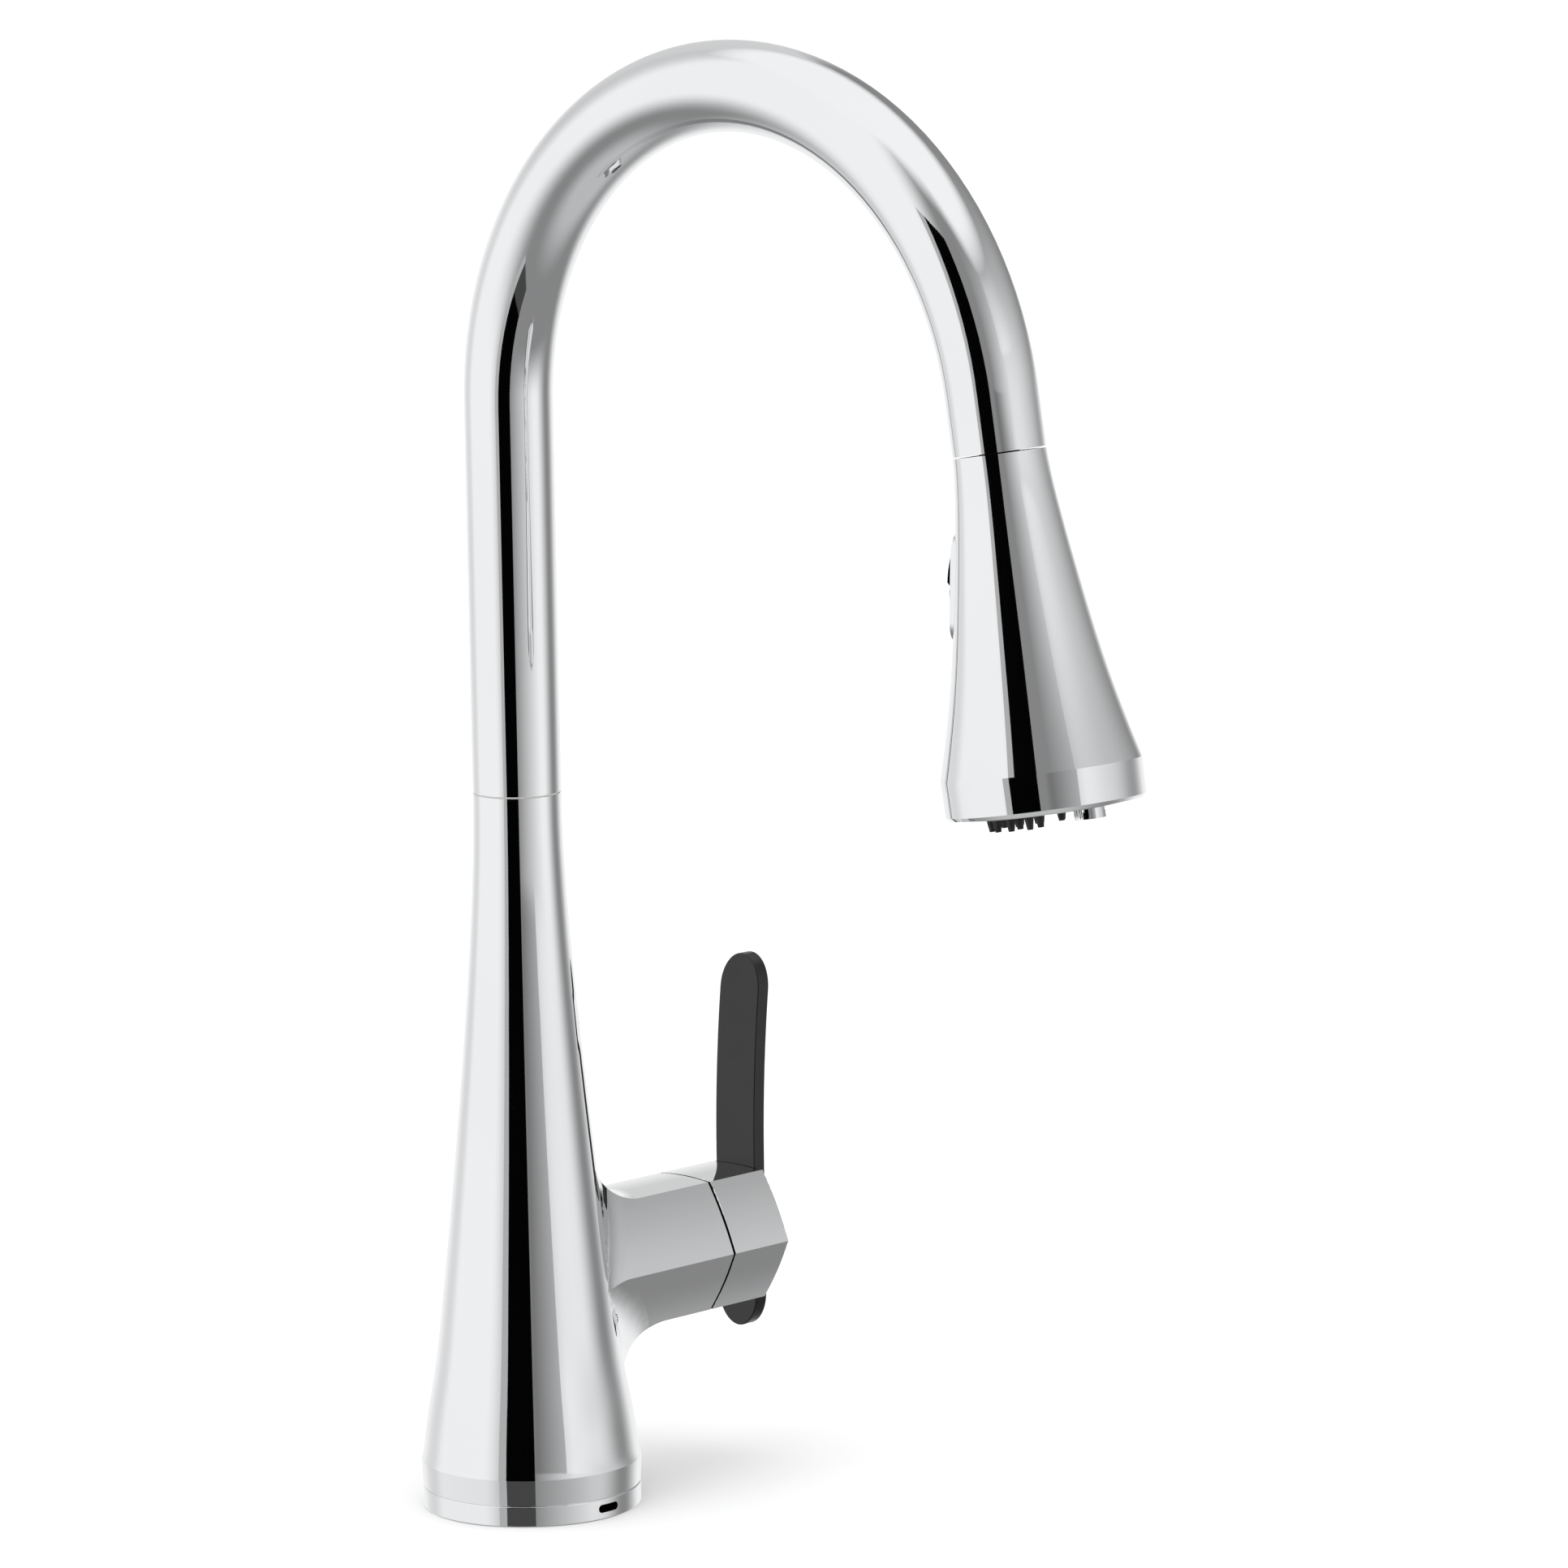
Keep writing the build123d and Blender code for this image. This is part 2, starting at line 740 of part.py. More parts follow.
with BuildPart() as face_plate:
    with BuildSketch(across(87.2)):
        Circle(plate_radius)
        Circle(23.8, mode=Mode.SUBTRACT)
    extrude(amount=plate_floor - 87.2)
    with BuildSketch(across(plate_floor)):
        Circle(plate_radius)
    extrude(amount=1.2)
    with BuildSketch(across(plate_floor)):
        Circle(boss_radius)
    extrude(amount=plate_face - plate_floor)
    chamfer(face_plate.edges().filter_by(GeomType.CIRCLE).sort_by(Axis.Z)[0], 0.5)
    with BuildSketch(across(plate_floor)):
        with Locations(*nozzle_spots()):
            Circle(1.75)
        with Locations((aerator_offset, 0)):
            Circle(aerator_radius + 0.3)
    extrude(amount=10.0, mode=Mode.SUBTRACT)

with BuildPart() as nozzle_pad:
    with BuildSketch(across(92.7)):
        Circle(23.4)
        with Locations((aerator_offset, 0)):
            Circle(aerator_radius + 0.5, mode=Mode.SUBTRACT)
    extrude(amount=plate_floor - 92.7)
    for spot in nozzle_spots():
        with BuildSketch(across(plate_floor)):
            with Locations(spot):
                Circle(1.6)
        with BuildSketch(across(plate_face)):
            with Locations(spot):
                Circle(1.35)
        loft()
        with BuildSketch(across(plate_face)):
            with Locations(spot):
                RegularPolygon(1.42, 8)
        with BuildSketch(across(nozzle_tip)):
            with Locations(spot):
                RegularPolygon(0.85, 8)
        loft()
    with BuildSketch(across(nozzle_tip - 2.0)):
        with Locations(*nozzle_spots()):
            Circle(0.4)
    extrude(amount=4.0, mode=Mode.SUBTRACT)

aerator_tip = nozzle_tip - 0.3
with BuildPart() as aerator_housing:
    with BuildSketch(across(88.0)):
        with Locations((aerator_offset, 0)):
            Circle(aerator_radius)
    extrude(amount=aerator_tip - 88.0)
    with BuildSketch(across(90.0)):
        with Locations((aerator_offset, 0)):
            Circle(aerator_radius - 0.8)
    extrude(amount=20.0, mode=Mode.SUBTRACT)
    with BuildSketch(across(87.0)):
        with Locations((aerator_offset, 0)):
            Circle(2.4)
    extrude(amount=4.0, mode=Mode.SUBTRACT)
    # Notches for the aerator key.
    with BuildSketch(across(aerator_tip - 2.0)):
        with Locations((aerator_offset, 0)):
            with PolarLocations(aerator_radius, 4):
                Rectangle(0.9, 1.6)
    extrude(amount=4.0, mode=Mode.SUBTRACT)

with BuildPart() as aerator_insert:
    with BuildSketch(across(92.0)):
        with Locations((aerator_offset, 0)):
            Circle(aerator_radius - 0.9)
    extrude(amount=aerator_tip - 92.6)
    with BuildSketch(across(aerator_tip - 3.0)):
        with Locations((aerator_offset, 0)):
            with GridLocations(1.25, 1.25, 4, 4):
                Rectangle(0.85, 0.85)
    extrude(amount=4.0, mode=Mode.SUBTRACT)

with BuildPart() as aerator_gasket:
    with BuildSketch(across(90.1)):
        with Locations((aerator_offset, 0)):
            Circle(aerator_radius - 0.9)
            Circle(2.0, mode=Mode.SUBTRACT)
    extrude(amount=1.6)

# ---------------------------------------------------------------- mode button
rocker_length = 23.0
rocker_width = 6.6
rocker_axis_depth = 3.2
rocker_pin_radius = 0.8
bezel_floor = -4.5
bezel_rim = 0.3

# Section along the rocker: x down the flank, y into the head.
rocker_section = Plane(origin=button_origin, x_dir=button_down, z_dir=button_plane.y_dir)

with BuildPart() as rocker_bezel:
    with BuildSketch(button_plane.offset(bezel_floor)):
        SlotOverall(bezel_length, bezel_width)
        SlotOverall(bezel_length - 1.8, bezel_width - 1.8, mode=Mode.SUBTRACT)
    extrude(amount=bezel_rim - bezel_floor)
    with BuildSketch(rocker_section):
        with Locations((0, rocker_axis_depth)):
            Circle(rocker_pin_radius)
    extrude(amount=bezel_width, both=True, mode=Mode.SUBTRACT)

with BuildPart() as mode_rocker:
    with BuildSketch(button_plane.offset(-1.2)):
        SlotOverall(rocker_length, rocker_width)
    extrude(amount=3.6)
    # Two lobes with a notch between them; the lower one is the pressed one.
    with BuildSketch(rocker_section):
        with BuildLine():
            upper_lobe = ThreePointArc((-12.0, 0.0), (-6.0, -1.45), (-1.4, -1.8))
            notch = Polyline(upper_lobe @ 1, (-0.2, -0.9), (0.8, -1.2))
            lower_lobe = ThreePointArc(notch @ 1, (6.0, -0.75), (12.0, 0.6))
            Polyline(lower_lobe @ 1, (12.0, -4.0), (-12.0, -4.0), (-12.0, 0.0))
        make_face()
    extrude(amount=rocker_width, both=True, mode=Mode.SUBTRACT)
    with BuildSketch(button_plane.offset(-rocker_axis_depth - 1.6)):
        Rectangle(4.0, 5.0)
    extrude(amount=4.2)
    with BuildSketch(rocker_section):
        with Locations((0, rocker_axis_depth)):
            Circle(rocker_pin_radius + pin_fit)
    extrude(amount=rocker_width, both=True, mode=Mode.SUBTRACT)

with BuildPart() as rocker_pin:
    with BuildSketch(rocker_section):
        with Locations((0, rocker_axis_depth)):
            Circle(rocker_pin_radius)
    extrude(amount=bezel_width / 2 - 0.2, both=True)

# ---------------------------------------------------------------- export
pieces = {
    "base_gasket": base_gasket,
    "base_ring": base_ring,
    "shank_socket": shank_socket,
    "port_plate": port_plate,
    "hose_end_fitting": hose_end_fitting,
    "body_shell": body_shell,
    "lower_bushing": lower_bushing,
    "upper_bushing": upper_bushing,
    "glide_washer": glide_washer,
    "valve_block": valve_block,
    "cold_tube": cold_tube,
    "hot_tube": hot_tube,
    "outlet_tube": outlet_tube,
    "cartridge_seal": cartridge_seal,
    "fixed_disc": fixed_disc,
    "moving_disc": moving_disc,
    "cartridge_housing": cartridge_housing,
    "cartridge_nut": cartridge_nut,
    "limit_ring": limit_ring,
    "glide_ring": glide_ring,
    "cartridge_stem": cartridge_stem,
    "hub_cap": hub_cap,
    "lever_pin": lever_pin,
    "pin_screw": pin_screw,
    "lever_bar": lever_bar,
    "lever_knuckle": lever_knuckle,
    "spout_tube": spout_tube,
    "spout_stem": spout_stem,
    "lower_o_ring": lower_o_ring,
    "upper_o_ring": upper_o_ring,
    "retainer_clip": retainer_clip,
    "dock_sleeve": dock_sleeve,
    "dock_magnet": dock_magnet,
    "dock_lip": dock_lip,
    "hose_run": hose_run,
    "hose_lead": hose_lead,
    "hose_ferrule": hose_ferrule,
    "hose_fitting": hose_fitting,
    "hose_seal": hose_seal,
    "head_shell": head_shell,
    "head_collar": head_collar,
    "head_inlet": head_inlet,
    "inlet_screen": inlet_screen,
    "waterway": waterway,
    "check_valve": check_valve,
    "diverter_spool": diverter_spool,
    "diverter_spring": diverter_spring,
    "face_plate": face_plate,
    "nozzle_pad": nozzle_pad,
    "aerator_housing": aerator_housing,
    "aerator_insert": aerator_insert,
    "aerator_gasket": aerator_gasket,
    "rocker_bezel": rocker_bezel,
    "mode_rocker": mode_rocker,
    "rocker_pin": rocker_pin,
}
for node, piece in pieces.items():
    piece.part.label = node
    export_step(piece.part, f"parts/{node}.step")
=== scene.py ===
# Looks of the pull-down kitchen faucet: materials, the pull-out hose, studio and camera.
# Metres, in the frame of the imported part: +Z up the body, -Y along the spout, +X toward the lever.
import json
from math import asin, atan2, cos, pi, radians, sin

import bmesh
import bpy
import numpy as np
from mathutils import Matrix, Vector

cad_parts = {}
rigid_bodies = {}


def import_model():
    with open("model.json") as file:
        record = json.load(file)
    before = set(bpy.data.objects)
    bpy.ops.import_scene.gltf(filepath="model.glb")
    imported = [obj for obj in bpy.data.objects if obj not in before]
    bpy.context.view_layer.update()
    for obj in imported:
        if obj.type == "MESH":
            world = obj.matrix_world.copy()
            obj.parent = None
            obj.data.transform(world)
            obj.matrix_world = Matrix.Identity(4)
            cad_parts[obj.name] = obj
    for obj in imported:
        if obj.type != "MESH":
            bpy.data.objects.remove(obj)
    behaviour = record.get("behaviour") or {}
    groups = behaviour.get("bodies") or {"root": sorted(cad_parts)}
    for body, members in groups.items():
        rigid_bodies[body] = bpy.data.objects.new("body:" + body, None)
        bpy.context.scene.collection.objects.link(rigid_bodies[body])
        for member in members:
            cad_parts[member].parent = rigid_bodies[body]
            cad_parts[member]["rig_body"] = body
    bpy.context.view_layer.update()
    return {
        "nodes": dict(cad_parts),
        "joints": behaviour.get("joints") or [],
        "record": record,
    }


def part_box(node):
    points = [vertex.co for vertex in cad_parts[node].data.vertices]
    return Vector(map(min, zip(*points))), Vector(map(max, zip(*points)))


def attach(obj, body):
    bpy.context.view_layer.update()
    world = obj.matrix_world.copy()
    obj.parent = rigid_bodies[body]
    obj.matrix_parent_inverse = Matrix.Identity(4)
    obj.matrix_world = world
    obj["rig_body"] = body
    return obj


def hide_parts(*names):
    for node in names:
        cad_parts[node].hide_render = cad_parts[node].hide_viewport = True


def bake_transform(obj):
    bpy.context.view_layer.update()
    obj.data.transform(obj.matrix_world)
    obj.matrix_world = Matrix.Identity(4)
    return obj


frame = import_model()
nodes = frame["nodes"]
joints = {joint["name"]: joint for joint in frame["joints"]}

# ---------------------------------------------------------------- camera
CAMERA_AZIMUTH = radians(45.78)
CAMERA_ELEVATION = radians(9.38)
CAMERA_ROLL = radians(-0.96)
CAMERA_DISTANCE = 2.393
CAMERA_LENS = 192.1
AIM_SIDE = 0.07638
AIM_HEIGHT = 0.2094

toward_camera = Vector((-sin(CAMERA_AZIMUTH), -cos(CAMERA_AZIMUTH), 0))
camera_right = Vector((cos(CAMERA_AZIMUTH), -sin(CAMERA_AZIMUTH), 0))


def add_camera():
    """The camera, on a line that rises toward it from the point it looks at."""
    back = toward_camera * cos(CAMERA_ELEVATION) + Vector((0, 0, sin(CAMERA_ELEVATION)))
    level_up = back.cross(camera_right)
    right = cos(CAMERA_ROLL) * camera_right + sin(CAMERA_ROLL) * level_up
    up = cos(CAMERA_ROLL) * level_up - sin(CAMERA_ROLL) * camera_right
    place = AIM_SIDE * camera_right + Vector((0, 0, AIM_HEIGHT)) + CAMERA_DISTANCE * back
    data = bpy.data.cameras.new("camera")
    data.sensor_width = 36
    data.lens = CAMERA_LENS
    camera = bpy.data.objects.new("camera", data)
    bpy.context.scene.collection.objects.link(camera)
    columns = Matrix((right, up, back)).transposed().to_4x4()
    camera.matrix_world = Matrix.Translation(place) @ columns
    bpy.context.scene.camera = camera


# ---------------------------------------------------------------- node graphs
class Graph:
    """Adds nodes to one node tree. Any value may be a number, a tuple or another node's socket."""

    def __init__(self, tree):
        self.tree = tree

    def add(self, kind, values=None, **settings):
        node = self.tree.nodes.new(kind)
        for name, value in settings.items():
            setattr(node, name, value)
        for key, value in (values or {}).items():
            self.feed(node.inputs[key], value)
        return node

    def feed(self, socket, value):
        if isinstance(value, bpy.types.NodeSocket):
            self.tree.links.new(value, socket)
        else:
            socket.default_value = value

    def math(self, operation, *values):
        return self.add("ShaderNodeMath", dict(enumerate(values)), operation=operation).outputs[0]

    def dot(self, vector, direction):
        values = {0: vector, 1: tuple(direction)}
        return self.add("ShaderNodeVectorMath", values, operation="DOT_PRODUCT").outputs["Value"]

    def step(self, value, start, end, smooth=True):
        """0 at start, 1 at end, in either order."""
        values = {"Value": value, "From Min": start, "From Max": end}
        kind = "SMOOTHSTEP" if smooth else "LINEAR"
        return self.add("ShaderNodeMapRange", values, interpolation_type=kind).outputs[0]

    def scaled(self, value, low, high, to_low, to_high):
        """to_low where value is low, to_high where it is high, and in proportion between."""
        ends = {"From Min": low, "From Max": high, "To Min": to_low, "To Max": to_high}
        return self.add("ShaderNodeMapRange", {"Value": value, **ends}).outputs[0]

    def place(self, stretch=(1, 1, 1)):
        """Position on the piece, which stays put on it as it moves, stretched along its axes."""
        coordinates = self.add("ShaderNodeTexCoord").outputs["Object"]
        return self.add("ShaderNodeMapping", {"Vector": coordinates, "Scale": stretch}).outputs[0]

    def noise(self, scale, detail=2.0, stretch=(1, 1, 1)):
        values = {"Vector": self.place(stretch), "Scale": scale, "Detail": detail}
        return self.add("ShaderNodeTexNoise", values).outputs[0]

    def colours(self, value, low, high, start=0.35, end=0.65):
        """Blend from one colour to another as value goes from start to end."""
        node = self.add("ShaderNodeValToRGB", {0: value})
        node.color_ramp.elements[0].position = start
        node.color_ramp.elements[1].position = end
        node.color_ramp.elements[0].color = (*low, 1)
        node.color_ramp.elements[1].color = (*high, 1)
        return node.outputs[0]

    def bump(self, height, depth, strength=1.0):
        values = {"Height": height, "Distance": depth, "Strength": strength}
        return self.add("ShaderNodeBump", values).outputs[0]


def material(name, metallic=0.0, **sockets):
    """A Principled material, its graph and its shader, with the constants set on the shader."""
    made = bpy.data.materials.new(name)
    made.use_nodes = True
    shader = made.node_tree.nodes["Principled BSDF"]
    shader.inputs["Metallic"].default_value = metallic
    for socket, value in sockets.items():
        shader.inputs[socket.replace("_", " ")].default_value = value
    return made, Graph(made.node_tree), shader


# ---------------------------------------------------------------- materials
# Painted shade: a near-black colour painted on the walls in the gap between hub and cap, and inside
# the base ring's outer skin, where shade falls.
SEAM_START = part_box("body_shell")[1].x - 0.0001
SEAM_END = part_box("hub_cap")[0].x + 0.0002
RING_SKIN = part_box("base_ring")[1].x - 0.0005
RING_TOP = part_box("base_ring")[1].z - 0.0002
# The painted shade's colour and the roughness added where it lies.
PAINTED_SHADE_COLOUR = (0.03, 0.03, 0.032, 1)
PAINTED_SHADE_ROUGHNESS = 0.5


def painted_shade_mask(graph):
    """1 where shade is painted: on the walls inside the hub's seam and inside the weep slot of the
    base ring.
    """
    here = graph.add("ShaderNodeTexCoord").outputs["Object"]
    split = graph.add("ShaderNodeSeparateXYZ", {0: here})
    x, y, z = split.outputs
    in_seam = graph.math("COMPARE", x, (SEAM_START + SEAM_END) / 2, (SEAM_END - SEAM_START) / 2)
    squares = graph.math("ADD", graph.math("POWER", x, 2), graph.math("POWER", y, 2))
    inside = graph.math("LESS_THAN", graph.math("SQRT", squares), RING_SKIN)
    low = graph.math("LESS_THAN", z, RING_TOP)
    return graph.math("MAXIMUM", in_seam, graph.math("MULTIPLY", inside, low))


def chrome():
    """Polished plate: nearly a mirror, with a faint long ripple, faint wiping marks, and painted
    shade in the hub's seam and the base ring's slot.
    """
    made, graph, shader = material("chrome", metallic=1.0)
    tint = graph.colours(graph.noise(11), (0.855, 0.862, 0.874), (0.872, 0.878, 0.888))
    # Painted shade: a dark, rougher colour on the walls of the hub's seam and inside the base ring's
    # slot.
    painted_shade = painted_shade_mask(graph)
    values = {"Factor": painted_shade, "A": tint, "B": PAINTED_SHADE_COLOUR}
    mix = graph.add("ShaderNodeMix", values, data_type="RGBA")
    graph.feed(shader.inputs["Base Color"], mix.outputs["Result"])
    wiped = graph.scaled(graph.noise(60, 4, (1, 1, 0.25)), 0.3, 0.7, 0.022, 0.045)
    rough = graph.math("ADD", wiped, graph.math("MULTIPLY", painted_shade, PAINTED_SHADE_ROUGHNESS))
    graph.feed(shader.inputs["Roughness"], rough)
    ripple = graph.noise(38, 1)
    graph.feed(shader.inputs["Normal"], graph.bump(ripple, 0.000005))
    return made


def satin_chrome():
    """Plated plastic of the spray face, softer than the shell around it."""
    made, graph, shader = material("satin_chrome", metallic=1.0)
    tint = graph.colours(graph.noise(60), (0.74, 0.745, 0.755), (0.8, 0.805, 0.815))
    graph.feed(shader.inputs["Base Color"], tint)
    graph.feed(shader.inputs["Roughness"], graph.scaled(graph.noise(400, 3), 0.3, 0.7, 0.16, 0.24))
    graph.feed(shader.inputs["Normal"], graph.bump(graph.noise(1800, 2), 0.00001))
    return made


def powder_coat():
    """Satin black coating of the lever: a fine grain under a thin clear sheen."""
    made, graph, shader = material("satin_black_coating", IOR=1.52)
    tint = graph.colours(graph.noise(90, 3), (0.0028, 0.0028, 0.003), (0.0048, 0.0048, 0.005))
    graph.feed(shader.inputs["Base Color"], tint)
    graph.feed(shader.inputs["Roughness"], graph.scaled(graph.noise(700, 4), 0.3, 0.7, 0.2, 0.27))
    graph.feed(shader.inputs["Normal"], graph.bump(graph.noise(4200, 3), 0.000004))
    return made


def rubber(name, dark, light):
    """Moulded rubber with a dusty, uneven sheen."""
    made, graph, shader = material(name)
    graph.feed(shader.inputs["Base Color"], graph.colours(graph.noise(500, 3), dark, light))
    graph.feed(shader.inputs["Roughness"], graph.scaled(graph.noise(900, 3), 0.3, 0.7, 0.42, 0.6))
    graph.feed(shader.inputs["Normal"], graph.bump(graph.noise(3000, 2), 0.000015))
    return made


def turned_metal(name, dark, light, rough, marks=(1, 1, 30)):
    """Machined metal: fine tool marks that run around the piece, and a patchy tarnish."""
    made, graph, shader = material(name, metallic=1.0)
    graph.feed(shader.inputs["Base Color"], graph.colours(graph.noise(140, 4), dark, light))
    lines = graph.noise(120, 3, marks)
    graph.feed(shader.inputs["Roughness"], graph.scaled(lines, 0.3, 0.7, rough, rough + 0.14))
    graph.feed(shader.inputs["Normal"], graph.bump(lines, 0.00002))
    return made


def moulded(name, dark, light, rough, grain=2600):
    """Moulded plastic: a fine grain and a slight change of shade."""
    made, graph, shader = material(name)
    graph.feed(shader.inputs["Base Color"], graph.colours(graph.noise(160, 3), dark, light))
    uneven = graph.scaled(graph.noise(800), 0.3, 0.7, rough, rough + 0.1)
    graph.feed(shader.inputs["Roughness"], uneven)
    graph.feed(shader.inputs["Normal"], graph.bump(graph.noise(grain, 2), 0.000015))
    return made


def ceramic():
    """Lapped ceramic of the cartridge discs, speckled under a smooth face."""
    made, graph, shader = material("ceramic", Coat_Weight=0.3, Coat_Roughness=0.08)
    tint = graph.colours(graph.noise(1500, 4), (0.8, 0.78, 0.72), (0.9, 0.88, 0.83))
    graph.feed(shader.inputs["Base Color"], tint)
    graph.feed(shader.inputs["Roughness"], graph.scaled(graph.noise(2500), 0.3, 0.7, 0.18, 0.26))
    return made


def braid(name, origin, along, side, radius):
    """Woven sleeve round a straight hose: two sets of strands that cross over and under."""
    made, graph, shader = material(name)
    across = along.cross(side)
    here = graph.add("ShaderNodeTexCoord").outputs["Object"]
    values = {0: here, 1: tuple(origin)}
    offset = graph.add("ShaderNodeVectorMath", values, operation="SUBTRACT").outputs[0]
    angle = graph.math("ARCTAN2", graph.dot(offset, across), graph.dot(offset, side))
    turn = graph.math("MULTIPLY", angle, STRANDS)
    length = graph.math("MULTIPLY", graph.dot(offset, along), STRANDS / radius)
    one_way = graph.math("SINE", graph.math("ADD", turn, length))
    other_way = graph.math("SINE", graph.math("SUBTRACT", turn, length))
    crossing = graph.math("MULTIPLY", one_way, other_way)
    fibre = graph.noise(5200, 2, (1, 1, 0.2))
    shade = graph.math("ADD", crossing, graph.scaled(fibre, 0.3, 0.7, -0.35, 0.35))
    level = graph.scaled(shade, -1, 1, 0, 1)
    tint = graph.colours(level, (0.012, 0.012, 0.013), (0.1, 0.1, 0.104), 0.3, 0.8)
    graph.feed(shader.inputs["Base Color"], tint)
    graph.feed(shader.inputs["Roughness"], graph.scaled(shade, -1, 1, 0.6, 0.36))
    relief = graph.math("ABSOLUTE", crossing)
    graph.feed(shader.inputs["Normal"], graph.bump(relief, 0.00022))
    return made


# ---------------------------------------------------------------- the pull-out hose
STRANDS = 14
HOSE_SIDES = 64
HOSE_RINGS = 96
HOSE_RADIUS = 0.0055

pull = joints["head_pull"]
down = Vector(pull["axis"]).normalized()
hose_side = Vector((1, 0, 0))
seam = Vector(joints["head_turn"]["pos_m"])


def hose_ends():
    """Where the lead's two ends lie on the head axis, from its CAD solid."""
    low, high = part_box("hose_lead")
    rim = HOSE_RADIUS * sin(asin(-down.y))
    top = seam + down * ((seam.z - high.z + rim) / -down.z)
    bottom = seam + down * ((seam.z - low.z - rim) / -down.z)
    return top, bottom


def add_hose_lead(start, end):
    """The stretch of hose that slides out of the spout, as a fine tube between its two ends."""
    mesh = bmesh.new()
    hose_across = down.cross(hose_side)
    rings = []
    for i in range(HOSE_RINGS + 1):
        centre = start.lerp(end, i / HOSE_RINGS)
        ring = []
        for k in range(HOSE_SIDES):
            turn = 2 * pi * k / HOSE_SIDES
            spoke = hose_side * cos(turn) + hose_across * sin(turn)
            ring.append(mesh.verts.new(centre + spoke * HOSE_RADIUS))
        rings.append(ring)
    for upper, lower in zip(rings, rings[1:]):
        for k in range(HOSE_SIDES):
            following = (k + 1) % HOSE_SIDES
            face = mesh.faces.new((upper[k], upper[following], lower[following], lower[k]))
            face.smooth = True
    mesh.faces.new(rings[0])
    mesh.faces.new(reversed(rings[-1]))
    bmesh.ops.recalc_face_normals(mesh, faces=mesh.faces)
    data = bpy.data.meshes.new("braided_hose")
    mesh.to_mesh(data)
    mesh.free()
    piece = bpy.data.objects.new("braided_hose", data)
    bpy.context.scene.collection.objects.link(piece)
    piece.data.materials.append(braid("braided_sleeve", seam, down, hose_side, HOSE_RADIUS))
    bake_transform(piece)
    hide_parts("hose_lead")


# ---------------------------------------------------------------- true curvature of the shells
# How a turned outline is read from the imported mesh.
PROFILE_STEPS = 160
PROFILE_REACH = 0.009
END_REACH = 0.0002
SKIN_DEPTH = 0.0008
# A corner gets the exact normal where it lies on the surface and already faces about that way.
ON_SURFACE = 0.00015
BEND_AGREES = 0.8
TURNED_AGREES = 0.9
# The spout: its leg, an arc and a straight drop.
ARC_RADIUS = 0.094
TUBE_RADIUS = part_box("spout_tube")[1].x
LEG_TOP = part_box("spout_tube")[1].z - ARC_RADIUS - TUBE_RADIUS
# The body: a short cone up to the crease, and the flank above it.
EDGE_BREAK = 0.0003
CREASE_HEIGHT = 0.0137
# The spray head, measured down from its seam: the flare, and a short cone to the broken rim.
SEAM_GAP = 0.0004
FLARE_END = 0.0857
HEAD_LENGTH = 0.0965
RIM_BREAK = 0.001


def polished_copy(node, normal_at):
    """A copy of a CAD shell that is shaded by its exact surface, where normal_at gives a normal."""
    data = nodes[node].data.copy()
    piece = bpy.data.objects.new("polished_" + node, data)
    bpy.context.scene.collection.objects.link(piece)
    shaded = [corner.vector.copy() for corner in data.corner_normals]
    for face in data.polygons:
        for corner in face.loop_indices:
            place = data.vertices[data.loops[corner].vertex_index].co
            exact = normal_at(place, shaded[corner], face.center)
            if exact:
                shaded[corner] = exact
    data.normals_split_custom_set(shaded)
    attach(piece, nodes[node]["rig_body"])
    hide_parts(node)


def bent_tube(place, shaded, centre):
    """Normal of the spout: square to its leg, its arc or its straight drop."""
    turn = atan2(centre.z - LEG_TOP, centre.y + ARC_RADIUS)
    lean = asin(-down.y)
    if turn <= 0 and centre.y > -ARC_RADIUS:
        middle = Vector((0, 0, place.z))
    elif 0 < turn or turn < lean - pi:
        angle = atan2(place.z - LEG_TOP, place.y + ARC_RADIUS)
        middle = Vector((0, ARC_RADIUS * (cos(angle) - 1), LEG_TOP + ARC_RADIUS * sin(angle)))
    else:
        middle = seam + down * down.dot(place - seam)
    spoke = place - middle
    outward = spoke.normalized()
    if abs(spoke.length - TUBE_RADIUS) < ON_SURFACE and outward.dot(shaded) > BEND_AGREES:
        return outward
    return None


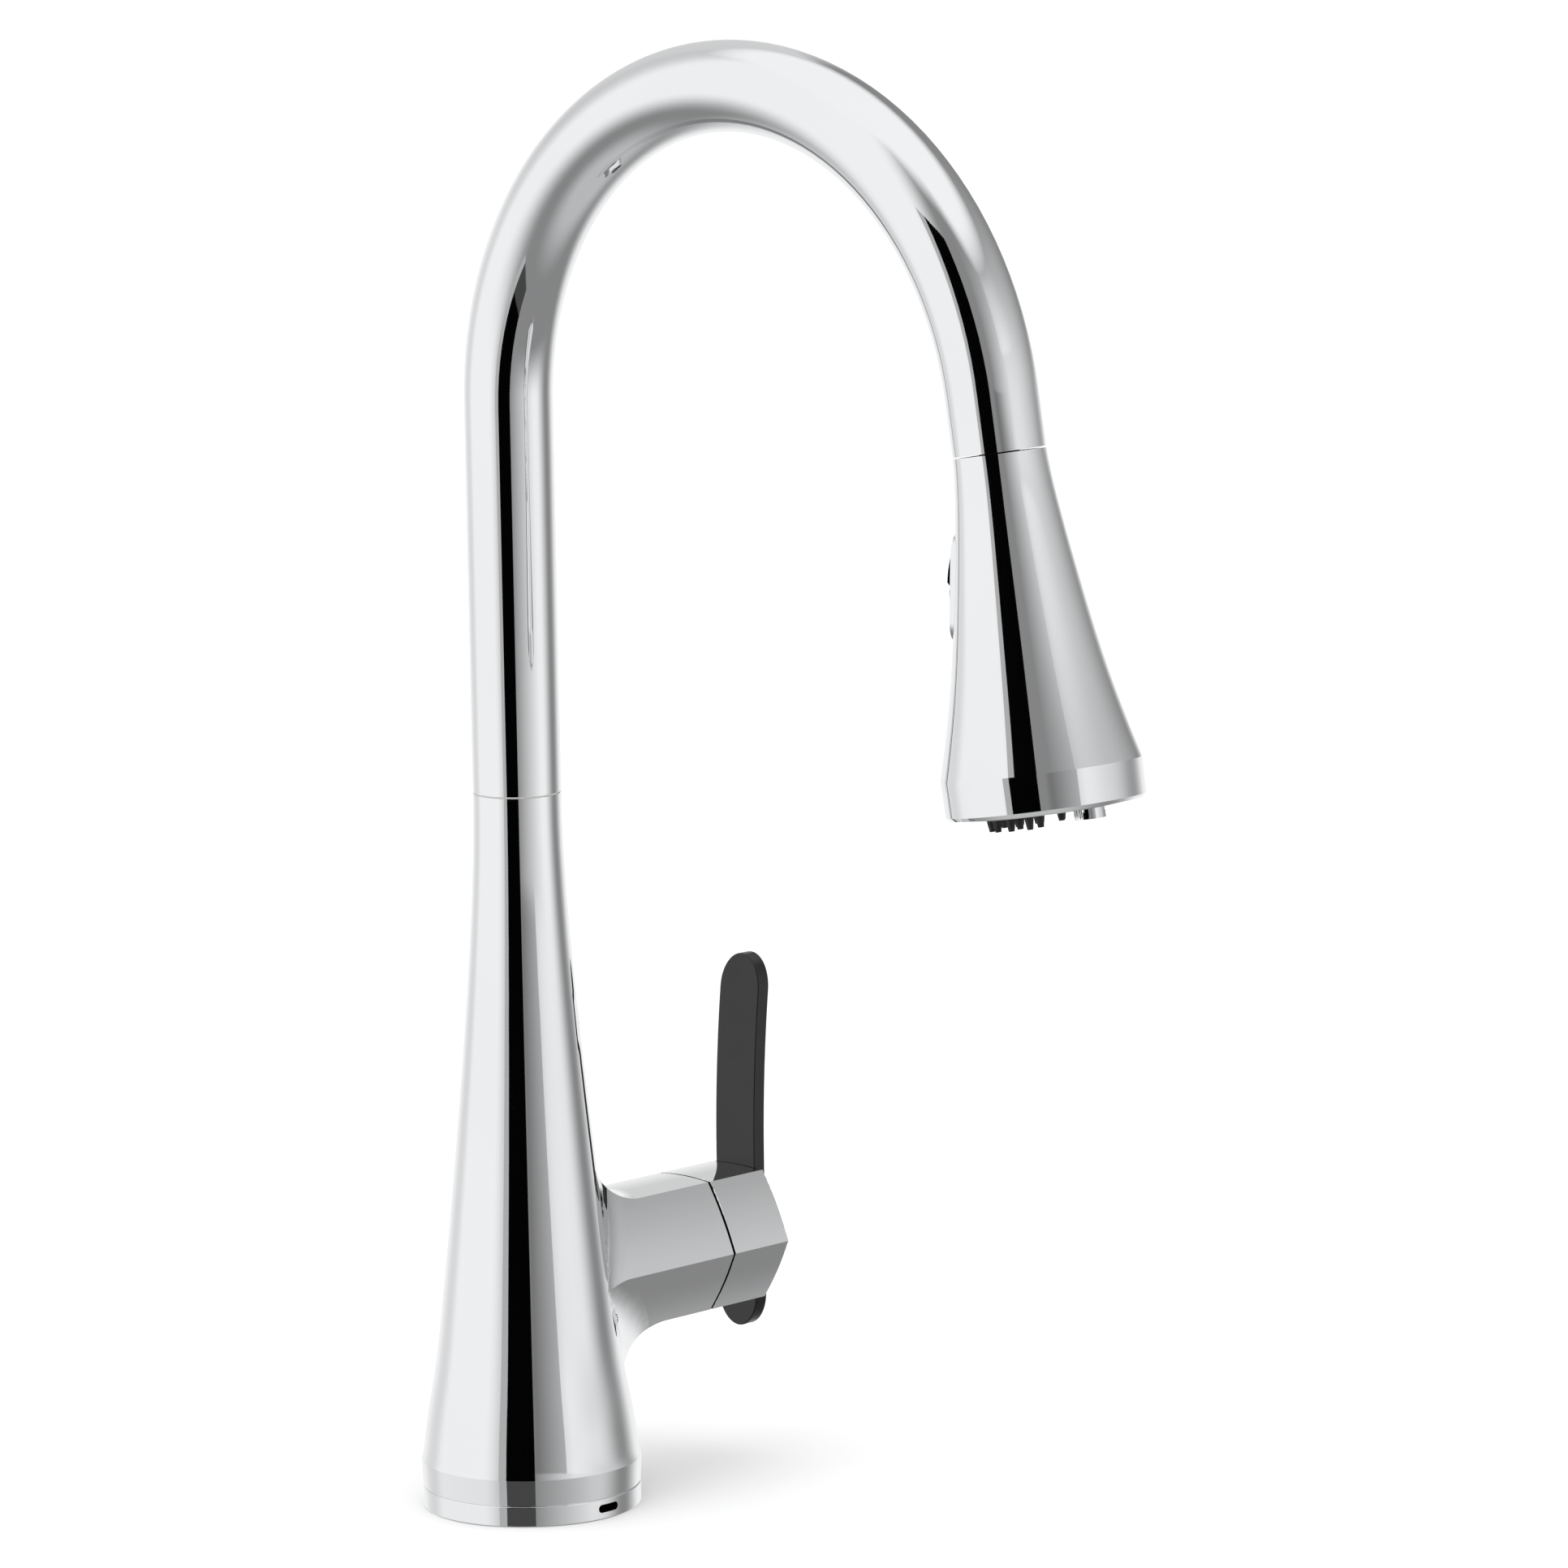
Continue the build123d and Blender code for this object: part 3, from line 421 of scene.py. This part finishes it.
class Turned:
    """Normals of the turned surfaces of a shell, from the outline that its points lie on."""

    def __init__(self, node, origin, axis, away, cone, flank):
        self.origin, self.axis = origin, axis
        places = [v.co for v in nodes[node].data.vertices if away.dot(v.co - origin) > 0]
        points = np.array([self.polar(place) for place in places])
        self.zones = [
            (*cone, *self.straight(points, *cone)),
            (*flank, *self.curved(points, *flank)),
        ]

    def polar(self, place):
        """Height along the axis and distance from it."""
        offset = place - self.origin
        height = offset.dot(self.axis)
        return height, (offset - height * self.axis).length

    def straight(self, points, low, high):
        """Radius and slope at the two ends of a cone."""
        ends = [points[abs(points[:, 0] - end) < END_REACH, 1].max() for end in (low, high)]
        return np.array((low, high)), np.array(ends), np.full(2, (ends[1] - ends[0]) / (high - low))

    def curved(self, points, low, high):
        """Radius and slope at even steps of height, from the outermost points nearby."""
        inside = points[(points[:, 0] >= low) & (points[:, 0] <= high)]
        heights = np.linspace(low, high, PROFILE_STEPS)
        bins = np.digitize(inside[:, 0], heights)
        outermost = np.zeros(PROFILE_STEPS + 1)
        np.maximum.at(outermost, bins, inside[:, 1])
        skin = inside[inside[:, 1] > outermost[bins] - SKIN_DEPTH]
        radii, slopes = [], []
        for height in heights:
            near = skin[abs(skin[:, 0] - height) < PROFILE_REACH]
            curve = np.polyfit(near[:, 0] - height, near[:, 1], 2)
            radii.append(curve[2])
            slopes.append(curve[1])
        return heights, np.array(radii), np.array(slopes)

    def __call__(self, place, shaded, centre):
        middle = self.polar(centre)[0]
        height, radius = self.polar(place)
        for low, high, heights, radii, slopes in self.zones:
            if low <= middle <= high:
                expected = np.interp(height, heights, radii)
                slope = float(np.interp(height, heights, slopes))
                spoke = place - self.origin - height * self.axis
                outward = (spoke.normalized() - slope * self.axis).normalized()
                if abs(radius - expected) < ON_SURFACE and outward.dot(shaded) > TURNED_AGREES:
                    return outward
        return None


def polish_shells():
    """The three large mirror-bright shells."""
    low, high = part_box("body_shell")
    up, away = Vector((0, 0, 1)), Vector((-1, 0, 0))
    cone, flank = (low.z + EDGE_BREAK, CREASE_HEIGHT), (CREASE_HEIGHT, high.z)
    polished_copy("body_shell", Turned("body_shell", Vector(), up, away, cone, flank))
    polished_copy("spout_tube", bent_tube)
    button = nodes["mode_rocker"].data.vertices[0].co - seam
    away = down * button.dot(down) - button
    cone, flank = (FLARE_END, HEAD_LENGTH - RIM_BREAK), (SEAM_GAP / 2, FLARE_END)
    polished_copy("head_shell", Turned("head_shell", seam, down, away, cone, flank))


# ---------------------------------------------------------------- studio
CARD_DISTANCE = 0.786


def card(name, outline, glow):
    """A flat panel that faces the faucet from the camera's side. The camera doesn't see it."""
    data = bpy.data.meshes.new(name)
    centre = toward_camera * CARD_DISTANCE
    points = [centre + camera_right * x + Vector((0, 0, z)) for x, z in outline]
    data.from_pydata(points, [], [tuple(range(len(points)))])
    panel = bpy.data.objects.new(name, data)
    bpy.context.scene.collection.objects.link(panel)
    made = bpy.data.materials.new(name)
    made.use_nodes = True
    made.node_tree.nodes.clear()
    graph = Graph(made.node_tree)
    light = graph.add("ShaderNodeEmission", {"Color": (glow, glow, glow, 1)})
    graph.add("ShaderNodeOutputMaterial", {"Surface": light.outputs[0]})
    data.materials.append(made)
    panel.visible_camera = False
    panel.visible_diffuse = False
    panel.visible_shadow = False


def add_cards():
    """A black panel and a narrow grey one beside it, which draw the dark stripes in the chrome."""
    outer, left, right, narrow = -0.512, -0.366, 0.068, -0.05
    low, step, shoulder, high = -0.33, -0.157, 0.42, 0.92
    black = [(left, step), (right, step), (right, shoulder), (narrow, high), (left, high)]
    card("black_panel", black, glow=0.001)
    foot = [(left, low), (right, low), (right, step), (left, step)]
    card("panel_foot", foot, glow=0.065)
    grey = [(outer, low), (left, low), (left, high), (outer, high)]
    card("grey_panel", grey, glow=0.47)


def add_surround():
    """Softboxes round the faucet, as bands of a world that only reflections and soft light see.

    Azimuth is from the camera's side, positive to its right; elevation is above the horizon.
    """
    world = bpy.data.worlds.new("studio")
    bpy.context.scene.world = world
    world.use_nodes = True
    world.node_tree.nodes.clear()
    graph = Graph(world.node_tree)
    sight = graph.add("ShaderNodeTexCoord").outputs["Generated"]
    turn = graph.math("ARCTAN2", graph.dot(sight, camera_right), graph.dot(sight, toward_camera))
    azimuth = graph.math("DEGREES", turn)
    elevation = graph.math("DEGREES", graph.math("ARCSINE", graph.dot(sight, (0, 0, 1))))
    around = graph.math("ABSOLUTE", azimuth)

    def band(value, rise, fall, smooth=True):
        """1 between rise and fall, each a pair of angles over which it changes."""
        window = graph.step(value, *rise, smooth)
        if fall:
            window = graph.math("MULTIPLY", window, graph.step(value, *reversed(fall)))
        return window

    def box(level, azimuths, elevations):
        return graph.math("MULTIPLY", graph.math("MULTIPLY", azimuths, elevations), level)

    left_box = box(0.72, band(azimuth, (-150, -105), (-52, -10)), band(elevation, (-44, -9), None))
    # Low down the right softbox peaks beside the faucet; higher up it fades slowly toward the back.
    above = graph.step(elevation, -7, 5)
    below = graph.math("SUBTRACT", 1.0, above)
    low_right = band(azimuth, (3, 68), (76, 113), smooth=False)
    high_right = band(azimuth, (6, 47), (52, 158), smooth=False)
    low_right = graph.math("MULTIPLY", low_right, below)
    high_right = graph.math("MULTIPLY", graph.math("MULTIPLY", high_right, above), 0.83)
    both_right = graph.math("ADD", low_right, high_right)
    right_box = box(0.70, both_right, band(elevation, (-28, -9), (8, 58)))
    back_wall = box(0.68, band(around, (116, 154), None), band(elevation, (-60, -25), None))
    high_wall = graph.scaled(elevation, 3, 14, 1.0, 0.62)
    back_right = graph.math("MULTIPLY", above, band(azimuth, (60, 100), (168, 178)))
    wall_fade = graph.math("MULTIPLY", high_wall, graph.math("SUBTRACT", 1.0, back_right))
    back_wall = graph.math("MULTIPLY", back_wall, wall_fade)
    strip = band(elevation, (-5, -3), (7, 9))
    upper_strip = band(elevation, (17, 20), (34, 42))
    strip_light = box(0.08, band(azimuth, (38.5, 39.3), (48, 76)), strip)
    upper_light = box(0.12, band(azimuth, (38.5, 39.3), (50, 90)), upper_strip)
    floor_light = box(0.28, band(elevation, (-48, -76), None), 1.0)
    glow = 0.265
    for part in (left_box, right_box, back_wall, strip_light, upper_light, floor_light):
        glow = graph.math("ADD", glow, part)
    dark_gap = box(0.36, band(azimuth, (0, 10), (38.5, 39.3)), strip)
    glow = graph.math("MULTIPLY", glow, graph.math("SUBTRACT", 1.0, dark_gap))
    # The overhead softbox starts higher above the camera than round the sides.
    front = box(16.0, band(azimuth, (-70, -25), (0, 46)), 1.0)
    overhead = box(1.0, band(graph.math("SUBTRACT", elevation, front), (26, 54), None), 1.0)
    glow = graph.math("MAXIMUM", glow, overhead)

    seen = graph.add("ShaderNodeLightPath").outputs["Is Camera Ray"]
    surround = graph.add("ShaderNodeBackground", {"Color": (1, 1, 1, 1), "Strength": glow})
    backdrop = graph.add("ShaderNodeBackground", {"Color": (1, 1, 1, 1), "Strength": 1.0})
    values = {0: seen, 1: surround.outputs[0], 2: backdrop.outputs[0]}
    shown = graph.add("ShaderNodeMixShader", values)
    graph.add("ShaderNodeOutputWorld", {"Surface": shown.outputs[0]})


FLOOR_SIZE = 60.0


def add_floor():
    """Plain pale floor, which the chrome doesn't mirror."""
    data = bpy.data.meshes.new("floor")
    reach = FLOOR_SIZE / 2
    corners = [(-reach, -reach, 0), (reach, -reach, 0), (reach, reach, 0), (-reach, reach, 0)]
    data.from_pydata(corners, [], [(0, 1, 2, 3)])
    floor = bpy.data.objects.new("floor", data)
    bpy.context.scene.collection.objects.link(floor)
    made, graph, shader = material("pale_floor", Roughness=0.9)
    tint = graph.colours(graph.noise(3, 3), (0.93, 0.93, 0.93), (0.95, 0.95, 0.95))
    graph.feed(shader.inputs["Base Color"], tint)
    data.materials.append(made)
    floor.visible_glossy = False


def add_top_light():
    """Broad light from above that brightens the floor and the matte parts."""
    data = bpy.data.lights.new("top_light", "SUN")
    data.energy = 1.6
    data.angle = radians(80)
    light = bpy.data.objects.new("top_light", data)
    bpy.context.scene.collection.objects.link(light)
    light.rotation_euler = (radians(12), radians(-14), 0)
    light.visible_glossy = False


# ---------------------------------------------------------------- finish of each slot
def finishes():
    """One material for each slot of the record."""
    soot, grey, white = (0.018, 0.018, 0.019), (0.34, 0.35, 0.37), (0.78, 0.78, 0.76)
    return {
        "chrome": chrome(),
        "satin_plastic": satin_chrome(),
        "lever_black": powder_coat(),
        "black_rubber": rubber("black_rubber", (0.008, 0.008, 0.009), (0.02, 0.02, 0.021)),
        "brass": turned_metal("brass", (0.62, 0.44, 0.2), (0.8, 0.62, 0.33), 0.2),
        "steel": turned_metal("steel", (0.52, 0.52, 0.53), (0.64, 0.64, 0.65), 0.2),
        "copper": turned_metal("copper", (0.6, 0.3, 0.18), (0.78, 0.45, 0.31), 0.25, (30, 30, 1)),
        "magnet": turned_metal("nickel", (0.3, 0.3, 0.3), (0.42, 0.42, 0.41), 0.3),
        "black_plastic": moulded("black_plastic", soot, (0.032, 0.032, 0.034), 0.38),
        "grey_plastic": moulded("grey_plastic", grey, (0.46, 0.47, 0.49), 0.4),
        "white_plastic": moulded("white_plastic", white, (0.86, 0.86, 0.84), 0.35),
        "red_plastic": moulded("red_plastic", (0.5, 0.04, 0.035), (0.62, 0.07, 0.06), 0.35),
        "ceramic": ceramic(),
        "braided_hose": braid("inner_sleeve", Vector(), Vector((0, 0, 1)), hose_side, HOSE_RADIUS),
    }


def paint_nodes():
    """Gives every CAD node the finish of its slot."""
    finish = finishes()
    for subpart in frame["record"]["subparts"]:
        made = finish[subpart["material_slot"]]
        for place in nodes[subpart["node"]].material_slots:
            place.material = made


add_camera()
paint_nodes()
polish_shells()
add_hose_lead(*hose_ends())
add_surround()
add_cards()
add_floor()
add_top_light()
bpy.context.scene.view_settings.view_transform = "Standard"
